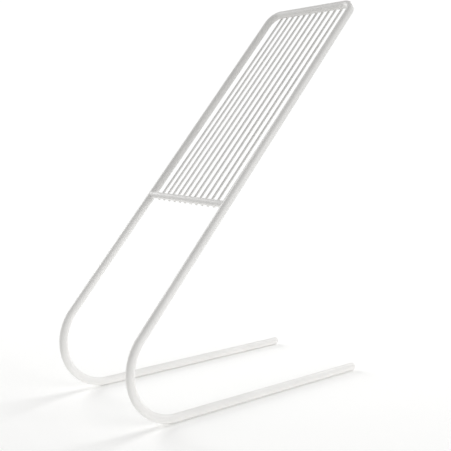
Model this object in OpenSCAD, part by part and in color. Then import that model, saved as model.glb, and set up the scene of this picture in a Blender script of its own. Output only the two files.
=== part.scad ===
// Free-standing magazine rack: one bent round rod, a cross bar and a grid of thin wires, all welded.
// The origin is on the floor, in the middle of the base. +X points along the feet to their ends, +Y across.

/* [Overall] */
// Height from the floor to the top of the top bar
overall_height = 490; // [430:1:600]
// Width over the two sides
overall_width = 162.5; // [130:0.5:230]
// Depth from the front of the floor bends to the ends of the feet
base_depth = 355; // [300:1:460]

/* [Frame rod] */
// Diameter of the frame rod
rod_d = 10; // [8:0.5:12]
// Slope of the rails above the floor, in degrees
rail_angle = 50.2; // [48:0.1:65]
// Centre-line radius of the two bends at the floor
floor_bend_r = 59; // [40:1:75]
// Centre-line radius of the two top corners
top_corner_r = 16; // [12:1:45]
// Rounding of the cut ends of the feet
end_round = 1.5; // [0.5:0.1:3]

/* [Grid] */
// Distance along the rails between the centre lines of the top bar and the cross bar
grid_length = 323; // [260:1:345]
// Diameter of the cross bar
cross_bar_d = 8; // [6:0.5:9.5]
// Diameter of a grid wire
wire_d = 3; // [2:0.1:4]
// Number of grid wires
wire_count = 12; // [5:1:15]
// Clear gap between a rail and the wire beside it
edge_gap = 7.3; // [5:0.1:12]
// Length that a wire runs past the centre line of the bar that it is welded to
wire_tail = 3; // [2:0.5:4]

/* [Welds] */
// Depth that a wire is pressed into a bar as it is welded
weld_sink = 0.15; // [0.05:0.05:0.3]
// Radius of the weld metal round a wire crossing
crossing_weld_r = 2; // [1.8:0.1:2.5]
// Leg of the fillet weld round an end of the cross bar
end_weld_leg = 1.5; // [0.8:0.1:2]
// Depth to which the end welds are ground below the upper side of the rails
end_weld_ground = 0.15; // [0.1:0.05:0.3]
// Length that the cross bar runs past the inner side of each rail
cross_bar_seat = 3; // [2:0.5:3.5]

/* [Hidden] */
$fn = 64;
coat = [0.93, 0.93, 0.91];
rod_r = rod_d / 2;
cross_bar_r = cross_bar_d / 2;
wire_r = wire_d / 2;
// Distance from the middle plane to the centre line of a rail
side_y = overall_width / 2 - rod_r;

// Side view of the frame rod: foot, floor bend, rail
foot_length = base_depth - floor_bend_r - rod_r;
bend_x = floor_bend_r + rod_r - base_depth / 2;
bend_z = floor_bend_r + rod_r;
// The rod draws a hair thinner in a floor bend, which reaches a little into the straight lengths
bend_thinning = 0.05;
bend_lap_angle = 0.3;

// Places along the rail, counted from the end of its floor bend
rail_start_z = bend_z + floor_bend_r * cos(rail_angle);
top_bar_s = (overall_height - rod_r - rail_start_z) / sin(rail_angle);
rail_length = top_bar_s - top_corner_r;
cross_bar_s = top_bar_s - grid_length;
// The cross bar lies flush with the upper side of the rails
cross_bar_rise = rod_r - cross_bar_r;

// The wires lie under both bars, so they run down a little towards the top bar
wire_low_z = cross_bar_rise - cross_bar_r - wire_r + weld_sink;
wire_high_z = weld_sink - rod_r - wire_r;
wire_tilt = atan((wire_low_z - wire_high_z) / grid_length);

// The wires are evenly spaced between the two edge gaps
wire_pitch = (overall_width - 2 * rod_d - 2 * edge_gap - wire_d) / (wire_count - 1);
function wire_y(i) = (i - (wire_count + 1) / 2) * wire_pitch;

// Centre line of the frame rod above a wire: on the top bar, or on the arc of a top corner
function corner_reach(y) = max(0, abs(y) - (side_y - top_corner_r));
function rod_s(y) = rail_length + sqrt(pow(top_corner_r, 2) - pow(corner_reach(y), 2));

// Places its children on the rails: X runs up from the floor bend, Y across, Z out of the upper side
module on_rails() {
    translate([bend_x, 0, bend_z])
        rotate([0, -rail_angle, 0])
            translate([0, 0, floor_bend_r])
                children();
}

// Straight round bar from the origin along +X
module bar_x(diameter, length) {
    rotate([0, 90, 0])
        cylinder(d = diameter, h = length);
}

// Bend of the frame rod about Z, from +X through the angle
module rod_bend(radius, angle, thinning = 0) {
    rotate_extrude(angle = angle)
        translate([radius, 0])
            circle(r = rod_r - thinning);
}

// Foot from the floor bend to its rounded end
module foot() {
    rotate([0, 90, 0])
        rotate_extrude() {
            square([rod_r, foot_length - end_round]);
            square([rod_r - end_round, foot_length]);
            translate([rod_r - end_round, foot_length - end_round])
                circle(r = end_round);
        }
}

// One side of the frame rod, up to the top bar
module frame_side() {
    translate([bend_x, side_y, rod_r])
        foot();
    on_rails() {
        translate([0, side_y, -floor_bend_r])
            rotate([90, 0, 0])
                rotate([0, 0, 90 - bend_lap_angle])
                    rod_bend(floor_bend_r, 180 - rail_angle + 2 * bend_lap_angle, bend_thinning);
        translate([0, side_y, 0])
            bar_x(rod_d, rail_length);
        top_corner();
    }
}

// One top corner, on the rails
module top_corner() {
    translate([rail_length, side_y - top_corner_r, 0])
        rod_bend(top_corner_r, 90);
}

// The top bar between the corners, on the rails
module top_bar() {
    translate([top_bar_s, 0, 0])
        rotate([90, 0, 0])
            cylinder(d = rod_d, h = 2 * (side_y - top_corner_r), center = true);
}

// The whole bar that the upper ends of the wires are welded to, on the rails
module top_loop() {
    top_bar();
    for (side = [0, 1])
        mirror([0, side, 0])
            top_corner();
}

// The cross bar before its ends are coped, on the rails
module cross_bar_round() {
    translate([cross_bar_s, 0, cross_bar_rise])
        rotate([90, 0, 0])
            cylinder(d = cross_bar_d, h = 2 * (side_y - rod_r + cross_bar_seat), center = true);
}

// Both rails where the cross bar meets them
module rails() {
    for (side = [-1, 1])
        translate([0, side * side_y, 0])
            bar_x(rod_d, rail_length);
}

// One wire before it is pressed into the bars, on the rails
module wire_round(i) {
    length = rod_s(wire_y(i)) - cross_bar_s + 2 * wire_tail;
    translate([cross_bar_s, wire_y(i), wire_low_z])
        rotate([0, wire_tilt, 0])
            translate([-wire_tail, 0, 0])
                bar_x(wire_d, length);
}

module frame_rod() {
    color(coat) {
        for (side = [0, 1])
            mirror([0, side, 0])
                frame_side();
        on_rails()
            top_bar();
    }
}

module cross_bar() {
    color(coat)
        on_rails()
            difference() {
                cross_bar_round();
                rails();
            }
}

module grid_wire(i) {
    color(coat)
        on_rails()
            difference() {
                wire_round(i);
                cross_bar_round();
                top_loop();
            }
}

// Fillet round one end of the cross bar, before the bar and the rail are cut out of it
module end_fillet() {
    fillet_r = cross_bar_r + end_weld_leg;
    rotate([-90, 0, 0])
        translate([0, 0, side_y - rod_r - end_weld_leg]) {
            cylinder(r1 = cross_bar_r, r2 = fillet_r, h = end_weld_leg);
            translate([0, 0, end_weld_leg])
                cylinder(r = fillet_r, h = rod_r);
        }
}

// Weld metal round both ends of the cross bar, ground nearly flush with the upper side of the rails
module cross_bar_welds() {
    color(coat)
        on_rails()
            difference() {
                for (side = [0, 1])
                    mirror([0, side, 0])
                        translate([cross_bar_s, 0, cross_bar_rise])
                            end_fillet();
                translate([cross_bar_s - rod_d, -overall_width / 2, rod_r - end_weld_ground])
                    cube([2 * rod_d, overall_width, rod_d]);
                cross_bar_round();
                rails();
            }
}

module upper_wire_welds() {
    color(coat)
        on_rails()
            difference() {
                for (i = [1:wire_count])
                    translate([rod_s(wire_y(i)), wire_y(i), -rod_r])
                        sphere(r = crossing_weld_r);
                top_loop();
                for (i = [1:wire_count])
                    wire_round(i);
            }
}

module lower_wire_welds() {
    color(coat)
        on_rails()
            difference() {
                for (i = [1:wire_count])
                    translate([cross_bar_s, wire_y(i), cross_bar_rise - cross_bar_r])
                        sphere(r = crossing_weld_r);
                cross_bar_round();
                for (i = [1:wire_count])
                    wire_round(i);
            }
}

frame_rod();
cross_bar();
for (i = [1:wire_count])
    grid_wire(i);
cross_bar_welds();
upper_wire_welds();
lower_wire_welds();
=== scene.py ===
"""Free-standing magazine rack of white powder-coated steel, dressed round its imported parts."""
import math
import bpy
from mathutils import Matrix, Vector


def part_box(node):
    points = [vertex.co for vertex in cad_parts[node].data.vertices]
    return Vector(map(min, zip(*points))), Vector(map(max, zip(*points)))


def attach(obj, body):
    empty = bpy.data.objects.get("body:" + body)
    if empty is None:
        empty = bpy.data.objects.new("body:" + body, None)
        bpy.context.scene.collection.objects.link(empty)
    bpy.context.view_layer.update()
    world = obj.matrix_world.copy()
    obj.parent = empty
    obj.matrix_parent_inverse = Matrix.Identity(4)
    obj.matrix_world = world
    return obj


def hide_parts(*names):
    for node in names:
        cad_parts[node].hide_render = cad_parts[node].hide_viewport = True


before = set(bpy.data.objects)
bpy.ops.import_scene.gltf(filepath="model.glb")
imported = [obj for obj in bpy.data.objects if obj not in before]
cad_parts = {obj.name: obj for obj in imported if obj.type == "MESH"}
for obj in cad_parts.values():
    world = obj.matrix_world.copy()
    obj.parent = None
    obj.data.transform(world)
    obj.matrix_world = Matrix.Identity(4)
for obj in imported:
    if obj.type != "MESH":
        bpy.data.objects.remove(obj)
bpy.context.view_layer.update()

# ---------------------------------------------------------------------------------------------
# Frame rod. One length of 10 mm mild steel rod makes both feet, both rails and the top bar.
# It is bent cold on a former, so it draws a hair thinner in the floor bends, and its cut ends are
# eased with a file before the powder coat rounds them over.
MM = 0.001
rod_radius = 5 * MM
floor_bend_radius = 59 * MM
top_corner_radius = 16 * MM
rail_slope = math.radians(50.2)
bend_thinning = 0.01
thinning_run = 8 * MM
end_easing = 1.5 * MM
end_dome = 0.15 * MM
rod_sides = 48
foot_steps, floor_bend_steps, rail_steps, corner_steps, half_bar_steps = 24, 60, 30, 28, 8

rod_low, rod_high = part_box("frame_rod")
side_y = rod_high.y - rod_radius
foot_end_x = rod_high.x
bend_x = rod_low.x + floor_bend_radius + rod_radius * (1 - bend_thinning)
bend_z = floor_bend_radius + rod_radius
up_rail = Vector((math.cos(rail_slope), 0, math.sin(rail_slope)))
out_of_rail = Vector((-math.sin(rail_slope), 0, math.cos(rail_slope)))
rail_foot = Vector((bend_x, 0, bend_z)) + out_of_rail * floor_bend_radius
top_bar_run = (rod_high.z - rod_radius - rail_foot.z) / up_rail.z
corner_run = top_bar_run - top_corner_radius


def on_rails(run, y, rise=0.0):
    """Point a distance up the rails, across them, and out of the plane of their centre lines."""
    return rail_foot + up_rail * run + out_of_rail * rise + Vector((0, y, 0))


def add_node(tree, kind, sockets=None, **settings):
    """Adds a node with its settings, then sets or links the input sockets that are given."""
    node = tree.nodes.new(kind)
    for name, value in settings.items():
        setattr(node, name, value)
    for key, value in (sockets or {}).items():
        if isinstance(value, bpy.types.NodeSocket):
            tree.links.new(value, node.inputs[key])
        else:
            node.inputs[key].default_value = value
    return node


def linear(hex_colour):
    """Linear RGBA of an sRGB colour written as six hex digits."""
    parts = [int(hex_colour[i:i + 2], 16) / 255 for i in (0, 2, 4)]
    rgb = (p / 12.92 if p <= 0.04045 else ((p + 0.055) / 1.055) ** 2.4 for p in parts)
    return (*rgb, 1.0)


def powder_coat(name, colour, peel_mm, peel_depth_mm, roughness):
    """White satin polyester powder, sprayed on dry and stoved.

    It melts into a thick even skin, which gives soft highlights with a fine orange peel, faintly
    uneven tone where the film is thicker, and a few nibs of dust that were stoved in.
    """
    material = bpy.data.materials.new(name)
    material.use_nodes = True
    tree = material.node_tree
    tree.nodes.clear()
    place = add_node(tree, "ShaderNodeTexCoord").outputs["Object"]

    # a thin film is a touch darker than the colour, and a thick one a touch lighter and glossier
    film_patch_mm = 45
    thin_film, thick_film = 0.3, 0.7
    thin_shade, thick_shade = 0.965, 1.02
    gloss_spread = 0.04
    film = add_node(tree, "ShaderNodeTexNoise", {
        "Vector": place, "Scale": 1000 / film_patch_mm, "Detail": 3.0, "Roughness": 0.5})
    tone = add_node(tree, "ShaderNodeValToRGB", {"Fac": film.outputs["Fac"]})
    ends = ((thin_film, thin_shade), (thick_film, thick_shade))
    for element, (position, shade) in zip(tone.color_ramp.elements, ends):
        element.position = position
        element.color = (*(c * shade for c in linear(colour)[:3]), 1.0)
    gloss = add_node(tree, "ShaderNodeMapRange", {
        "Value": film.outputs["Fac"], "From Min": thin_film, "From Max": thick_film,
        "To Min": roughness + gloss_spread, "To Max": roughness - gloss_spread})

    # the peel of this powder is about 1 mm across; a little coarser here, so that it shows
    peel = add_node(tree, "ShaderNodeTexNoise", {
        "Vector": place, "Scale": 1000 / peel_mm, "Detail": 2.0, "Roughness": 0.45})

    # a nib is a small smooth bump in the middle of its own cell, and most cells show none
    nib_spacing_mm, nib_height_mm, nib_radius = 14, 0.06, 0.035
    nibs = add_node(tree, "ShaderNodeTexVoronoi", {
        "Vector": place, "Scale": 1000 / nib_spacing_mm, "Randomness": 1.0})
    nib_height = add_node(tree, "ShaderNodeMapRange", {
        "Value": nibs.outputs["Distance"], "From Min": 0.0, "From Max": nib_radius,
        "To Min": 1.0, "To Max": 0.0}, interpolation_type="SMOOTHSTEP")

    peel_bump = add_node(tree, "ShaderNodeBump", {
        "Height": peel.outputs["Fac"], "Strength": 1.0, "Distance": peel_depth_mm * MM})
    nib_bump = add_node(tree, "ShaderNodeBump", {
        "Height": nib_height.outputs["Result"], "Strength": 1.0, "Distance": nib_height_mm * MM,
        "Normal": peel_bump.outputs["Normal"]})

    shader = add_node(tree, "ShaderNodeBsdfPrincipled", {
        "Base Color": tone.outputs["Color"], "Roughness": gloss.outputs["Result"],
        "IOR": 1.5, "Specular IOR Level": 0.5, "Normal": nib_bump.outputs["Normal"]})
    add_node(tree, "ShaderNodeOutputMaterial", {"Surface": shader.outputs["BSDF"]})
    return material


def path_mesh(name, runs):
    """Mesh of edges along runs of (point, thickness), for a node tree to sweep a section along."""
    points = [p for run in runs for p in run]
    edges, start = [], 0
    for run in runs:
        edges += [(start + i, start + i + 1) for i in range(len(run) - 1)]
        start += len(run)
    mesh = bpy.data.meshes.new(name)
    mesh.from_pydata([p for p, _ in points], edges, [])
    thickness = mesh.attributes.new("thickness", "FLOAT", "POINT")
    thickness.data.foreach_set("value", [t for _, t in points])
    return mesh


def node_tree(name, sizes):
    """Geometry node tree that takes geometry and the named sizes, and gives geometry."""
    tree = bpy.data.node_groups.new(name, "GeometryNodeTree")
    tree.interface.new_socket("Geometry", in_out="INPUT", socket_type="NodeSocketGeometry")
    for label, value in sizes.items():
        kind = "NodeSocketInt" if isinstance(value, int) else "NodeSocketFloat"
        tree.interface.new_socket(label, in_out="INPUT", socket_type=kind)
    tree.interface.new_socket("Geometry", in_out="OUTPUT", socket_type="NodeSocketGeometry")
    return tree, add_node(tree, "NodeGroupInput").outputs


def swept(tree, path, radius, sides):
    """Round section of a radius swept along a path, scaled by the path's thickness."""
    thickness = add_node(tree, "GeometryNodeInputNamedAttribute", {"Name": "thickness"},
                         data_type="FLOAT")
    line = add_node(tree, "GeometryNodeMeshToCurve", {"Mesh": path})
    section = add_node(tree, "GeometryNodeCurvePrimitiveCircle", {
        "Resolution": sides, "Radius": radius})
    sweep = add_node(tree, "GeometryNodeCurveToMesh", {
        "Curve": line.outputs["Curve"], "Profile Curve": section.outputs["Curve"],
        "Scale": thickness.outputs["Attribute"], "Fill Caps": True})
    return sweep.outputs["Mesh"]


def finish_tree(tree, geometry, material):
    """Ends a tree with smooth shading, real geometry and the piece's material."""
    smooth = add_node(tree, "GeometryNodeSetShadeSmooth", {"Geometry": geometry})
    real = add_node(tree, "GeometryNodeRealizeInstances", {"Geometry": smooth.outputs["Geometry"]})
    coated = add_node(tree, "GeometryNodeSetMaterial", {
        "Geometry": real.outputs["Geometry"], "Material": material})
    add_node(tree, "NodeGroupOutput", {"Geometry": coated.outputs["Geometry"]})


def made_piece(name, mesh, tree, sizes):
    """Runs a node tree with its sizes on a mesh, and keeps the plain mesh that it gives."""
    maker = bpy.data.objects.new(name + "_maker", mesh)
    bpy.context.scene.collection.objects.link(maker)
    modifier = maker.modifiers.new("make", "NODES")
    modifier.node_group = tree
    for item in tree.interface.items_tree:
        if item.in_out == "INPUT" and item.name in sizes:
            modifier[item.identifier] = sizes[item.name]
    evaluated = maker.evaluated_get(bpy.context.evaluated_depsgraph_get())
    made = bpy.data.meshes.new_from_object(evaluated)
    maker.modifiers.remove(modifier)
    bpy.data.objects.remove(maker)
    made.name = name
    for attribute in [a for a in made.attributes if a.name == "thickness"]:
        made.attributes.remove(attribute)
    piece = bpy.data.objects.new(name, made)
    bpy.context.scene.collection.objects.link(piece)
    return piece


def arc(centre, start, end, angle, steps):
    """Run of full thickness round a centre, from start towards end, to just short of the angle."""
    return [(centre + start * math.cos(a) + end * math.sin(a), 1.0)
            for a in (angle * i / steps for i in range(steps))]


def straight(a, b, steps):
    """Run of full thickness from a to just short of b."""
    return [(a.lerp(b, i / steps), 1.0) for i in range(steps)]


def rod_end(tip, along, radius, easing, dome, rings=7):
    """Run over a cut end from the tip inwards: a faintly domed face, then the eased edge."""
    face = radius - easing
    # the first ring stays a hair open, so that its cap has an area
    points = [(tip + along * dome * f ** 2, max(face * f, 0.02 * face) / radius)
              for f in (0.0, 0.35, 0.7)]
    for i in range(rings + 1):
        a = math.pi / 2 * (1 - i / rings)
        points.append((tip + along * (dome + easing * (1 - math.sin(a))),
                       (face + easing * math.cos(a)) / radius))
    return points


side = Vector((0, side_y, 0))
foot_tip = Vector((foot_end_x, 0, rod_radius))
foot_inner = foot_tip - Vector((end_dome + end_easing, 0, 0))
floor_turn = math.pi - rail_slope
half_rod = rod_end(foot_tip - side, Vector((-1, 0, 0)), rod_radius, end_easing, end_dome)
half_rod += straight(foot_inner - side, Vector((bend_x, 0, rod_radius)) - side, foot_steps)[1:]
half_rod += arc(Vector((bend_x, 0, bend_z)) - side, Vector((0, 0, -floor_bend_radius)),
                Vector((-floor_bend_radius, 0, 0)), floor_turn, floor_bend_steps)
half_rod += straight(on_rails(0, -side_y), on_rails(corner_run, -side_y), rail_steps)
corner_y = -side_y + top_corner_radius
half_rod += arc(on_rails(corner_run, corner_y), Vector((0, -top_corner_radius, 0)),
                up_rail * top_corner_radius, math.pi / 2, corner_steps)
half_rod += straight(on_rails(top_bar_run, corner_y), on_rails(top_bar_run, 0), half_bar_steps)


def drawn_thinner(point, thickness):
    """Thickness of the rod at a point, less what it loses in a floor bend."""
    in_bend = max(0.0, min(1.0, (bend_x - point.x) / thinning_run))
    up_run = (point - rail_foot).dot(up_rail)
    off_rail = max(0.0, min(1.0, (thinning_run - up_run) / thinning_run))
    return thickness * (1 - bend_thinning * in_bend * off_rail)


half_rod = [(p, drawn_thinner(p, t)) for p, t in half_rod]
other_half = [(Vector((p.x, -p.y, p.z)), t) for p, t in reversed(half_rod)]
middle = [(on_rails(top_bar_run, 0), 1.0)]

rod_coat = powder_coat("satin_white_powder_coat_on_rod", "E7E6E4",
                       peel_mm=2.2, peel_depth_mm=0.012, roughness=0.46)
rod_sizes = {"Rod Radius": rod_radius, "Sides": rod_sides}
rod_tree, rod_in = node_tree("bend_frame_rod", rod_sizes)
whole_rod = swept(rod_tree, rod_in["Geometry"], rod_in["Rod Radius"], rod_in["Sides"])
finish_tree(rod_tree, whole_rod, rod_coat)
rod_path = path_mesh("frame_rod_path", [half_rod + middle + other_half])
frame_rod = made_piece("bent_frame_rod", rod_path, rod_tree, rod_sizes)
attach(frame_rod, "root")
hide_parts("frame_rod")

# ---------------------------------------------------------------------------------------------
# Cross bar. An 8 mm rod, cut to fit round the rails at both ends and set flush with their upper
# side, so that magazines slide over it. It closes the frame and holds the lower ends of the wires.
cross_bar_radius = 4 * MM
cross_bar_seat = 2.6 * MM
cross_bar_sides = 40
cross_bar_steps = 24
cross_low, cross_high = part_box("cross_bar")
cross_centre = (cross_low + cross_high) / 2
cross_run = (cross_centre - rail_foot).dot(up_rail)
cross_rise = (cross_centre - rail_foot).dot(out_of_rail)
cross_reach = side_y - rod_radius + cross_bar_seat

bar_sizes = {"Bar Radius": cross_bar_radius, "Sides": cross_bar_sides}
bar_tree, bar_in = node_tree("cut_cross_bar", bar_sizes)
whole_bar = swept(bar_tree, bar_in["Geometry"], bar_in["Bar Radius"], bar_in["Sides"])
finish_tree(bar_tree, whole_bar, rod_coat)
bar_start, bar_end = (on_rails(cross_run, y, cross_rise) for y in (-cross_reach, cross_reach))
bar_run = straight(bar_start, bar_end, cross_bar_steps) + [(bar_end, 1.0)]
bar_path = path_mesh("cross_bar_path", [bar_run])
cross_bar = made_piece("lower_cross_bar", bar_path, bar_tree, bar_sizes)
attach(cross_bar, "root")
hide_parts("cross_bar")

# ---------------------------------------------------------------------------------------------
# Grid wires. Straightened 3 mm wire, sheared to length and laid evenly across the underside of
# both bars. Each wire runs a few millimetres past the bars, where the coat rounds its cut end.
wire_radius = 1.5 * MM
wire_tail = 3 * MM
wire_sink = 0.15 * MM
wire_end_easing = 0.5 * MM
wire_end_dome = 0.1 * MM
wire_end_rings = 4
wire_end_share = 0.01
wire_sides = 20
wire_steps = 40
wire_count = 12
first_low, first_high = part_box("grid_wire_1")
last_low, last_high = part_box("grid_wire_12")
first_wire_y = (first_low.y + first_high.y) / 2
wire_pitch = ((last_low.y + last_high.y) / 2 - first_wire_y) / (wire_count - 1)
low_rise = cross_rise - cross_bar_radius - wire_radius + wire_sink
high_rise = wire_sink - rod_radius - wire_radius

wire_low = on_rails(cross_run, 0, low_rise)
wire_high = on_rails(top_bar_run, 0, high_rise)
along_wire = (wire_high - wire_low).normalized()
wire_bottom = wire_low - along_wire * wire_tail
wire_top = wire_high + along_wire * wire_tail
low_end, high_end = (
    rod_end(tip, inwards, wire_radius, wire_end_easing, wire_end_dome, wire_end_rings)
    for tip, inwards in ((wire_bottom, along_wire), (wire_top, -along_wire)))
wire_length = straight(wire_bottom.lerp(wire_top, wire_end_share),
                       wire_bottom.lerp(wire_top, 1 - wire_end_share), wire_steps)
wire_path = path_mesh("grid_wire_path", [low_end + wire_length + high_end[::-1]])

wire_coat = powder_coat("satin_white_powder_coat_on_wire", "E7E6E4",
                        peel_mm=1.8, peel_depth_mm=0.008, roughness=0.46)
wire_sizes = {"Wire Radius": wire_radius, "Sides": wire_sides, "Count": wire_count,
              "First Wire": first_wire_y, "Pitch": wire_pitch}
wire_tree, wire_in = node_tree("lay_grid_wires", wire_sizes)
one_wire = swept(wire_tree, wire_in["Geometry"], wire_in["Wire Radius"], wire_in["Sides"])


def row_across(tree, count, first, pitch):
    """Row of points across the rack, from the first place on, a pitch apart."""
    start = add_node(tree, "ShaderNodeCombineXYZ", {"Y": first})
    step = add_node(tree, "ShaderNodeCombineXYZ", {"Y": pitch})
    row = add_node(tree, "GeometryNodeMeshLine", {
        "Count": count, "Start Location": start.outputs["Vector"],
        "Offset": step.outputs["Vector"]})
    return row.outputs["Mesh"]


wires_laid = add_node(wire_tree, "GeometryNodeInstanceOnPoints", {
    "Points": row_across(wire_tree, wire_in["Count"], wire_in["First Wire"], wire_in["Pitch"]),
    "Instance": one_wire})
finish_tree(wire_tree, wires_laid.outputs["Instances"], wire_coat)
grid_wires = made_piece("grid_wires", wire_path, wire_tree, wire_sizes)
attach(grid_wires, "root")
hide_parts(*["grid_wire_%d" % (i + 1) for i in range(wire_count)])

# ---------------------------------------------------------------------------------------------
# Wire welds. Each wire is resistance welded where it crosses a bar: the steel softens, the wire
# sinks in a little, and a small collar of metal is squeezed out round the crossing.
collar_along, collar_across, collar_depth = 2.1 * MM, 1.95 * MM, 1.25 * MM
collar_sink = 0.1 * MM
collar_unevenness = 0.12 * MM
collar_lump_mm = 1.6
weld_seed = 4.0

weld_coat = powder_coat("satin_white_powder_coat_on_welds", "E5E4E2",
                        peel_mm=1.4, peel_depth_mm=0.02, roughness=0.48)
to_rails = Matrix((up_rail, Vector((0, 1, 0)), out_of_rail)).transposed()


def lumpy(tree, geometry, lump_mm, height, seed):
    """Moves a surface in and out along its normals by smooth noise, as weld metal sets."""
    noise = add_node(tree, "ShaderNodeTexNoise", {
        "Vector": add_node(tree, "GeometryNodeInputPosition").outputs["Position"],
        "W": seed, "Scale": 1000 / lump_mm, "Detail": 1.0}, noise_dimensions="4D")
    centred = add_node(tree, "ShaderNodeMath", {
        0: noise.outputs["Fac"], 1: 0.5}, operation="SUBTRACT")
    amount = add_node(tree, "ShaderNodeMath", {
        0: centred.outputs["Value"], 1: height}, operation="MULTIPLY")
    push = add_node(tree, "ShaderNodeVectorMath", {
        0: add_node(tree, "GeometryNodeInputNormal").outputs["Normal"],
        "Scale": amount.outputs["Value"]}, operation="SCALE")
    moved = add_node(tree, "GeometryNodeSetPosition", {
        "Geometry": geometry, "Offset": push.outputs["Vector"]})
    return moved.outputs["Geometry"]


def weld_collars(name, crossing, node):
    """Row of weld collars across the rack, one where each wire crosses a bar."""
    # the noise is centred, so only half of its height goes each way
    sizes = {"Count": wire_count, "First Wire": first_wire_y, "Pitch": wire_pitch,
             "Unevenness": 2 * collar_unevenness, "Seed": weld_seed}
    tree, given = node_tree(name + "_row", sizes)
    metal = add_node(tree, "GeometryNodeMeshIcoSphere", {"Radius": 1.0, "Subdivisions": 4})
    shaped = add_node(tree, "GeometryNodeTransform", {
        "Geometry": metal.outputs["Mesh"], "Translation": crossing,
        "Rotation": to_rails.to_euler(), "Scale": (collar_along, collar_across, collar_depth)})
    laid = add_node(tree, "GeometryNodeInstanceOnPoints", {
        "Points": row_across(tree, given["Count"], given["First Wire"], given["Pitch"]),
        "Instance": shaped.outputs["Geometry"]})
    real = add_node(tree, "GeometryNodeRealizeInstances", {"Geometry": laid.outputs["Instances"]})
    uneven = lumpy(tree, real.outputs["Geometry"], collar_lump_mm, given["Unevenness"],
                   given["Seed"])
    finish_tree(tree, uneven, weld_coat)
    piece = made_piece(name, bpy.data.meshes.new(name + "_start"), tree, sizes)
    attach(piece, "root")
    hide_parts(node)


under_cross_bar = on_rails(cross_run, 0, cross_rise - cross_bar_radius + collar_sink)
under_top_bar = on_rails(top_bar_run, 0, -rod_radius + collar_sink)
weld_collars("cross_bar_wire_welds", under_cross_bar, "lower_wire_welds")
weld_collars("top_bar_wire_welds", under_top_bar, "upper_wire_welds")

# ---------------------------------------------------------------------------------------------
# Cross bar welds. A bead is run by hand round each coped end of the cross bar, then ground almost
# flush on the upper side, where the magazines slide, so that only the sides keep their fillet.
bead_leg = 1.5 * MM
bead_ground = 0.2 * MM
bead_root = 0.9 * MM
bead_root_cover = 3 * bead_ground
bead_bite = 0.08 * MM
bead_fullness = 0.55
slow_wave, slow_waves_round = 0.07, 5
quick_wave, quick_waves_round, quick_phase = 0.05, 11, 2
bead_steps = 96
bead_face_points = 7


def on_rail_side(run, rise, sign):
    """Point just inside a rail's inner side, at most as high as the upper side is ground."""
    fused = rod_radius - bead_bite
    rise = min(rod_radius - bead_ground, rise)
    return on_rails(run, sign * (side_y - math.sqrt(fused ** 2 - rise ** 2)), rise)


def bead_section(angle, sign):
    """Corners of the bead's section at an angle round the cross bar: toe, face, toe, root."""
    leg = bead_leg * (1 + slow_wave * math.sin(slow_waves_round * angle + sign)
                      + quick_wave * math.sin(quick_waves_round * angle + quick_phase))
    across, up_down = math.cos(angle), math.sin(angle)

    def round_bar(radius):
        return cross_run + radius * across, cross_rise + radius * up_down

    corner = on_rail_side(*round_bar(cross_bar_radius - bead_bite), sign)
    rail_toe = on_rail_side(*round_bar(cross_bar_radius + leg), sign)
    bar_toe = corner - Vector((0, sign * leg, 0))
    swell = corner.lerp((rail_toe + bar_toe) / 2, bead_fullness)
    face = []
    for i in range(bead_face_points):
        f = i / (bead_face_points - 1)
        face.append(bar_toe * (1 - f) ** 2 + swell * 2 * f * (1 - f) + rail_toe * f ** 2)
    run, rise = round_bar(cross_bar_radius - bead_root)
    root = on_rails(run, 0, min(rise, rod_radius - bead_root_cover))
    root.y = corner.y + sign * bead_root
    return face + [root]


def weld_beads(name, signs):
    """Closed bead round each coped end, lofted through its sections."""
    points, faces = [], []
    for sign in signs:
        start = len(points)
        ring = bead_face_points + 1
        for i in range(bead_steps):
            points += bead_section(2 * math.pi * i / bead_steps, sign)
        for i in range(bead_steps):
            for j in range(ring):
                a, b = start + i * ring, start + (i + 1) % bead_steps * ring
                quad = (a + j, b + j, b + (j + 1) % ring, a + (j + 1) % ring)
                faces.append(quad if sign < 0 else quad[::-1])
    mesh = bpy.data.meshes.new(name)
    mesh.from_pydata(points, [], faces)
    mesh.shade_smooth()
    mesh.materials.append(weld_coat)
    piece = bpy.data.objects.new(name, mesh)
    bpy.context.scene.collection.objects.link(piece)
    return piece


beads = weld_beads("cross_bar_weld_beads", (-1, 1))
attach(beads, "root")
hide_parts("cross_bar_welds")

# ---------------------------------------------------------------------------------------------
# Floor. A round table of matt white paper under the rack. It bounces light up under the rods,
# takes their soft shadows, and melts into the white room towards its edge.
floor_radius = 0.64
floor_sides = 120
melt_start, melt_end = 0.34, 0.58
under_glow = 0.16
floor_rim = [Vector((math.cos(a), math.sin(a), 0)) * floor_radius
             for a in (2 * math.pi * i / floor_sides for i in range(floor_sides))]
floor_mesh = bpy.data.meshes.new("paper_floor")
floor_mesh.from_pydata(floor_rim, [], [tuple(range(floor_sides))])


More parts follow.
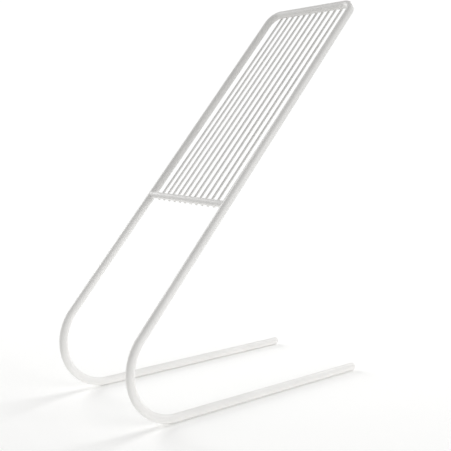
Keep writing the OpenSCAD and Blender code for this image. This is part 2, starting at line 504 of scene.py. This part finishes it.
def matt_white_paper():
    """Uncoated white paper: no gloss, and no edge to be seen where it meets the white room.

    It glows a little on to the rods, as a table lit from below, but the glow is left out of what
    the camera sees of the paper itself, so that the shadows on it stay clear.
    """
    material = bpy.data.materials.new("matt_white_paper")
    material.use_nodes = True
    tree = material.node_tree
    tree.nodes.clear()
    place = add_node(tree, "ShaderNodeTexCoord").outputs["Object"]
    from_rack = add_node(tree, "ShaderNodeVectorMath", {0: place}, operation="LENGTH")
    seen = add_node(tree, "ShaderNodeLightPath").outputs["Is Camera Ray"]
    under_light = add_node(tree, "ShaderNodeMapRange", {
        "Value": seen, "To Min": under_glow, "To Max": 0.0})
    paper = add_node(tree, "ShaderNodeBsdfPrincipled", {
        "Base Color": linear("FDFDFC"), "Roughness": 0.9, "Specular IOR Level": 0.2,
        "Emission Color": (1, 1, 1, 1), "Emission Strength": under_light.outputs["Result"]})
    room = add_node(tree, "ShaderNodeBsdfTransparent")
    edge = add_node(tree, "ShaderNodeMapRange", {
        "Value": from_rack.outputs["Value"], "From Min": melt_start, "From Max": melt_end,
        "To Min": 0.0, "To Max": 1.0}, interpolation_type="SMOOTHSTEP")
    melt = add_node(tree, "ShaderNodeMath", {
        0: edge.outputs["Result"], 1: seen}, operation="MULTIPLY")
    either = add_node(tree, "ShaderNodeMixShader", {
        "Fac": melt.outputs["Value"], 1: paper.outputs["BSDF"], 2: room.outputs["BSDF"]})
    add_node(tree, "ShaderNodeOutputMaterial", {"Surface": either.outputs["Shader"]})
    return material


floor_mesh.materials.append(matt_white_paper())
floor = bpy.data.objects.new("paper_floor", floor_mesh)
bpy.context.scene.collection.objects.link(floor)

# ---------------------------------------------------------------------------------------------
# Studio light. Three softboxes stand in a pale room: one beyond the ends of the feet, whose soft
# shadows fall back past the floor bends, one at the far side, and a fill at the near side.
softbox_distance = 3.2
softbox_aim = Vector((0, 0, 0.1))
wall_light = 0.46
backdrop_light = 1.02


def softbox(name, azimuth, elevation, size, watts):
    """Square soft light aimed at the rack, at angles round from the feet and above the floor."""
    data = bpy.data.lights.new(name, "AREA")
    data.shape, data.size, data.energy = "SQUARE", size, watts
    lamp = bpy.data.objects.new(name, data)
    bpy.context.scene.collection.objects.link(lamp)
    a, e = math.radians(azimuth), math.radians(elevation)
    way = Vector((math.cos(a) * math.cos(e), math.sin(a) * math.cos(e), math.sin(e)))
    lamp.location = softbox_aim + way * softbox_distance
    lamp.rotation_euler = way.to_track_quat("Z", "Y").to_euler()
    lamp.visible_camera = False


softbox("key_softbox", azimuth=6, elevation=41, size=1.7, watts=42)
softbox("back_softbox", azimuth=104, elevation=24, size=2.0, watts=54)
softbox("near_side_softbox", azimuth=284, elevation=18, size=1.8, watts=34)

world = bpy.data.worlds.new("white_room")
world.use_nodes = True
bpy.context.scene.world = world
sky = world.node_tree
sky.nodes.clear()
dim_walls = add_node(sky, "ShaderNodeBackground", {
    "Color": (1, 1, 1, 1), "Strength": wall_light})
white_backdrop = add_node(sky, "ShaderNodeBackground", {
    "Color": (1, 1, 1, 1), "Strength": backdrop_light})
seen_sky = add_node(sky, "ShaderNodeMixShader", {
    "Fac": add_node(sky, "ShaderNodeLightPath").outputs["Is Camera Ray"],
    1: dim_walls.outputs["Background"], 2: white_backdrop.outputs["Background"]})
add_node(sky, "ShaderNodeOutputWorld", {"Surface": seen_sky.outputs["Shader"]})
bpy.context.scene.view_settings.view_transform = "Standard"

# ---------------------------------------------------------------------------------------------
# Camera. It stands low at the near side of the floor bends, with a lens a little longer than
# normal, and looks slightly down across the rack.
camera_place = Vector((-0.5620, -0.71411, 0.32063))
camera_yaw, camera_pitch, camera_roll = (math.radians(a) for a in (39.523, -5.4235, 0.6847))
camera_data = bpy.data.cameras.new("camera")
camera_data.sensor_width = 36
camera_data.lens = 58.19
camera_data.shift_x = -0.01753
camera_data.shift_y = -0.05679
camera_data.clip_start = 0.05
ahead = Vector((math.sin(camera_yaw) * math.cos(camera_pitch),
                math.cos(camera_yaw) * math.cos(camera_pitch), math.sin(camera_pitch)))
level = ahead.cross(Vector((0, 0, 1))).normalized()
upright = level.cross(ahead)
right = level * math.cos(camera_roll) + upright * math.sin(camera_roll)
up = upright * math.cos(camera_roll) - level * math.sin(camera_roll)
camera = bpy.data.objects.new("camera", camera_data)
bpy.context.scene.collection.objects.link(camera)
camera_turn = Matrix((right, up, -ahead)).transposed().to_4x4()
camera.matrix_world = Matrix.Translation(camera_place) @ camera_turn
bpy.context.scene.camera = camera
